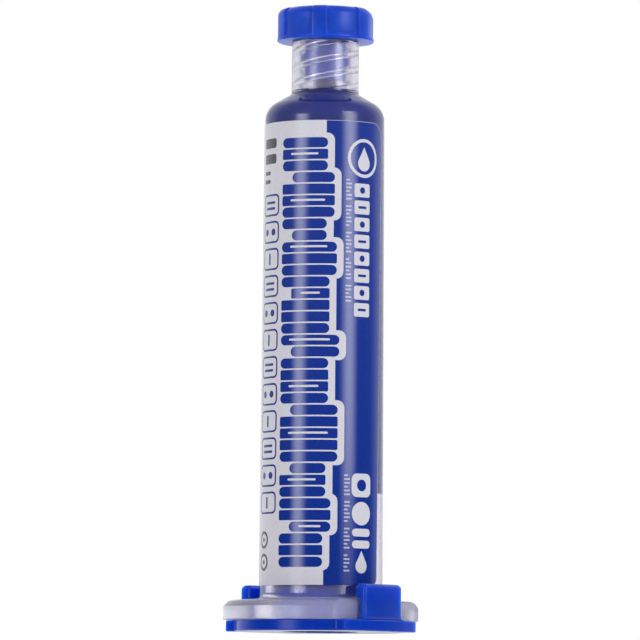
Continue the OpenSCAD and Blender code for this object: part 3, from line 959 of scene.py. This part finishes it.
def hook_rings():
    """The sections of the hook on the +X side: a flared foot, the arm, and the lip with its lead-in."""
    rings = [hook_ring(HOOK_ROOT_Z, HOOK_IN, HOOK_OUT + HOOK_FOOT, HOOK_HALF + HOOK_FOOT)]
    for i in range(9):
        rise = HOOK_FOOT * (1 - math.cos(math.pi / 2 * i / 8))
        flare = HOOK_FOOT * (1 - math.sin(math.pi / 2 * i / 8))
        rings.append(hook_ring(PLATE_T + rise, HOOK_IN, HOOK_OUT + flare, HOOK_HALF + flare))
    rings.append(hook_ring(LIP_UNDER_Z, HOOK_IN, HOOK_OUT, HOOK_HALF))
    rings.append(hook_ring(LIP_UNDER_Z, LIP_IN, HOOK_OUT, HOOK_HALF))
    for i in range(9):
        rounding = math.pi / 2 * i / 8
        down = HOOK_ROUND * (1 - math.sin(rounding))
        cut = HOOK_ROUND * (1 - math.cos(rounding))
        lead = clamp(LIP_LEAD - down, 0, LIP_LEAD)
        rings.append(hook_ring(HOOK_TOP_Z - down, LIP_IN + lead, HOOK_OUT - cut, HOOK_HALF - cut / 2))
    return rings


outline = plate_outline()
end_cap = loft("end_cap_moulding", [
    [(x, y, 0) for x, y in inset(outline, PLATE_BEVEL)],
    [(x, y, PLATE_BEVEL) for x, y in outline],
    [(x, y, PLATE_T - PLATE_BEVEL) for x, y in outline],
    [(x, y, PLATE_T) for x, y in inset(outline, PLATE_BEVEL)],
])
plug = lathe("plug", lambda turn: [
    (0, PLUG_ROOT_Z),
    (PLUG_R, PLUG_ROOT_Z),
    (PLUG_R, PLUG_TOP_Z - PLUG_LEAD_H),
    (PLUG_R - PLUG_LEAD_IN, PLUG_TOP_Z),
    (0, PLUG_TOP_Z),
], even_turns(128))
recess = lathe("recess", lambda turn: [
    (0, -1),
    (RECESS_R + RECESS_FLARE, -1),
    (RECESS_R, 0.2),
    (RECESS_R, RECESS_Z - RECESS_BEVEL),
    (RECESS_R - RECESS_BEVEL, RECESS_Z),
    (0, RECESS_Z),
], even_turns(128))
rings = hook_rings()
near_hook = loft("near_hook", rings)
far_hook = loft("far_hook", [[(-x, -y, z) for x, y, z in ring] for ring in rings])
combine(end_cap, plug, "UNION")
combine(end_cap, near_hook, "UNION")
combine(end_cap, far_hook, "UNION")
combine(end_cap, recess, "DIFFERENCE")
end_cap.data.shade_smooth()
end_cap.data.set_sharp_from_angle(angle=CRISP_CORNER)
end_cap.data.materials.clear()
end_cap.data.materials.append(blue_polypropylene(
    "blue_polypropylene_end_cap", "#0538AF", "#0433A5", 0.2, 0.25, (0.002, 0.006, 0.012)))
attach(end_cap, "syringe")
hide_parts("end_cap")

# Floor: a pale sheet just under the end cap, with a little light of its own, as a light table has. It
# can't be seen from below its level, where the camera stands. From above it shows a soft shadow.
FLOOR_HALF = 1.5
FLOOR_Z = -0.0002
floor_corners = ((-1, -1), (1, -1), (1, 1), (-1, 1))
mesh = bpy.data.meshes.new("floor")
mesh.from_pydata([(x * FLOOR_HALF, y * FLOOR_HALF, FLOOR_Z) for x, y in floor_corners], [], [(0, 1, 2, 3)])
floor = bpy.data.objects.new("floor", mesh)
bpy.context.scene.collection.objects.link(floor)
paper, tree = new_material("pale_paper")
path = add(tree, "LightPath")
matt = add(tree, "BsdfDiffuse", {"Color": (0.86, 0.86, 0.87, 1)})
lit_from_below = add(tree, "Emission", {"Color": (1, 1, 1, 1), "Strength": 0.25})
sheet = add(tree, "AddShader", {0: matt.outputs["BSDF"], 1: lit_from_below.outputs["Emission"]})
under = add(tree, "NewGeometry").outputs["Backfacing"]
# Gloss and clear plastic show the backdrop in the sheet's place
glossy, through = path.outputs["Is Glossy Ray"], path.outputs["Is Transmission Ray"]
mirrored = add(tree, "Math", {0: glossy, 1: through}, operation="MAXIMUM")
unseen = add(tree, "Math", {0: under, 1: mirrored.outputs[0]}, operation="MAXIMUM")
nothing = add(tree, "BsdfTransparent")
surface = add(tree, "MixShader", {
    0: unseen.outputs[0],
    1: sheet.outputs["Shader"],
    2: nothing.outputs["BSDF"],
})
add(tree, "OutputMaterial", {"Surface": surface.outputs["Shader"]})
floor.data.materials.append(paper)


# Lamps: two upright soft boxes in front of the syringe, one on each side of the camera, which show in
# the plastic and the film as two soft streaks.
def soft_box(name, azimuth, elevation, width, height, fade, radiance):
    """An upright lamp at an angle to the right of the camera, aimed at the syringe. Its cloth is
    brightest in the middle and fades to the sides, and within a part of its height at both ends."""
    turn = FACING + math.radians(azimuth)
    distance = 0.9
    rise = distance * math.tan(math.radians(elevation))
    lamp = bpy.data.objects.new(name, bpy.data.lights.new(name, "AREA"))
    bpy.context.scene.collection.objects.link(lamp)
    lamp.location = (distance * math.cos(turn), distance * math.sin(turn), VIEW_AIM.z + rise)
    lamp.rotation_euler = (VIEW_AIM - lamp.location).to_track_quat("-Z", "Y").to_euler()
    lamp.data.shape = "RECTANGLE"
    lamp.data.size = width
    lamp.data.size_y = height
    lamp.data.energy = radiance * math.pi * width * height
    lamp.visible_camera = False
    lamp.data.use_nodes = True
    tree = lamp.data.node_tree
    tree.nodes.clear()
    place = add(tree, "SeparateXYZ", {0: add(tree, "NewGeometry").outputs["Parametric"]})
    fades = []
    for side, reach in (("X", 0.5), ("Y", fade)):
        from_edge = add(tree, "Math", {0: place.outputs[side], 1: 0.5}, operation="PINGPONG")
        fades.append(add(tree, "MapRange", {"Value": from_edge.outputs[0], "From Max": reach},
                         interpolation_type="SMOOTHSTEP"))
    level = add(tree, "Math", {0: fades[0].outputs[0], 1: fades[1].outputs[0]}, operation="MULTIPLY")
    glow = add(tree, "Emission", {"Strength": level.outputs[0]})
    add(tree, "OutputLight", {"Surface": glow.outputs["Emission"]})
    return lamp


soft_box("soft_box_left", -45, 4, 0.6, 0.45, 0.2, 5.8)
soft_box("soft_box_right", 50, 14.8, 0.7, 0.5, 0.07, 6.2)

# World: a white backdrop behind the syringe and a dim room in front. Both also show in gloss and
# through clear plastic, and the camera sees plain white.
world = bpy.data.worlds.new("studio")
world.use_nodes = True
bpy.context.scene.world = world
tree = world.node_tree
tree.nodes.clear()
path = add(tree, "LightPath")
glossy, through = path.outputs["Is Glossy Ray"], path.outputs["Is Transmission Ray"]
direction = add(tree, "TexCoord").outputs["Generated"]
behind = add(tree, "VectorMath", {0: direction, 1: AWAY}, operation="DOT_PRODUCT")
# In gloss the room in front is dark at the camera's level, and its wall is lit further up
height = add(tree, "SeparateXYZ", {0: direction}).outputs["Z"]
wall = add(tree, "MapRange", {
    "Value": height,
    "From Min": 0.04,
    "From Max": 0.13,
    "To Min": 0.02,
    "To Max": 0.5,
})
front_gloss = add(tree, "Mix", {"Factor": glossy, "A": 0.28, "B": wall.outputs["Result"]})
front = add(tree, "Mix", {"Factor": through, "A": front_gloss.outputs["Result"], "B": 1.0})
back_gloss = add(tree, "Mix", {"Factor": glossy, "A": 0.8, "B": 1.0})
back = add(tree, "Mix", {"Factor": through, "A": back_gloss.outputs["Result"], "B": 1.0})
# The backdrop's edge is soft for gloss, and nearly sharp for plain light
edge_near = add(tree, "Mix", {"Factor": glossy, "A": -0.04, "B": 0.1})
edge_far = add(tree, "Mix", {"Factor": glossy, "A": 0.06, "B": 0.65})
level = add(tree, "MapRange", {
    "Value": behind.outputs["Value"],
    "From Min": edge_near.outputs["Result"],
    "From Max": edge_far.outputs["Result"],
    "To Min": front.outputs["Result"],
    "To Max": back.outputs["Result"],
}, interpolation_type="SMOOTHSTEP")
# A soft light overhead, which gloss doesn't show
overhead = add(tree, "Mix", {"Factor": glossy, "A": 0.5, "B": 0.0})
ceiling = add(tree, "MapRange", {
    "Value": height,
    "From Min": 0.2,
    "From Max": 0.9,
    "To Max": overhead.outputs["Result"],
}, interpolation_type="SMOOTHSTEP")
around = add(tree, "Math", {0: level.outputs["Result"], 1: ceiling.outputs["Result"]}, operation="ADD")
seen = add(tree, "Mix", {"Factor": path.outputs["Is Camera Ray"], "A": around.outputs[0], "B": 1.0})
backdrop = add(tree, "Background", {"Color": (1, 1, 1, 1), "Strength": seen.outputs["Result"]})
add(tree, "OutputWorld", {"Surface": backdrop.outputs["Background"]})
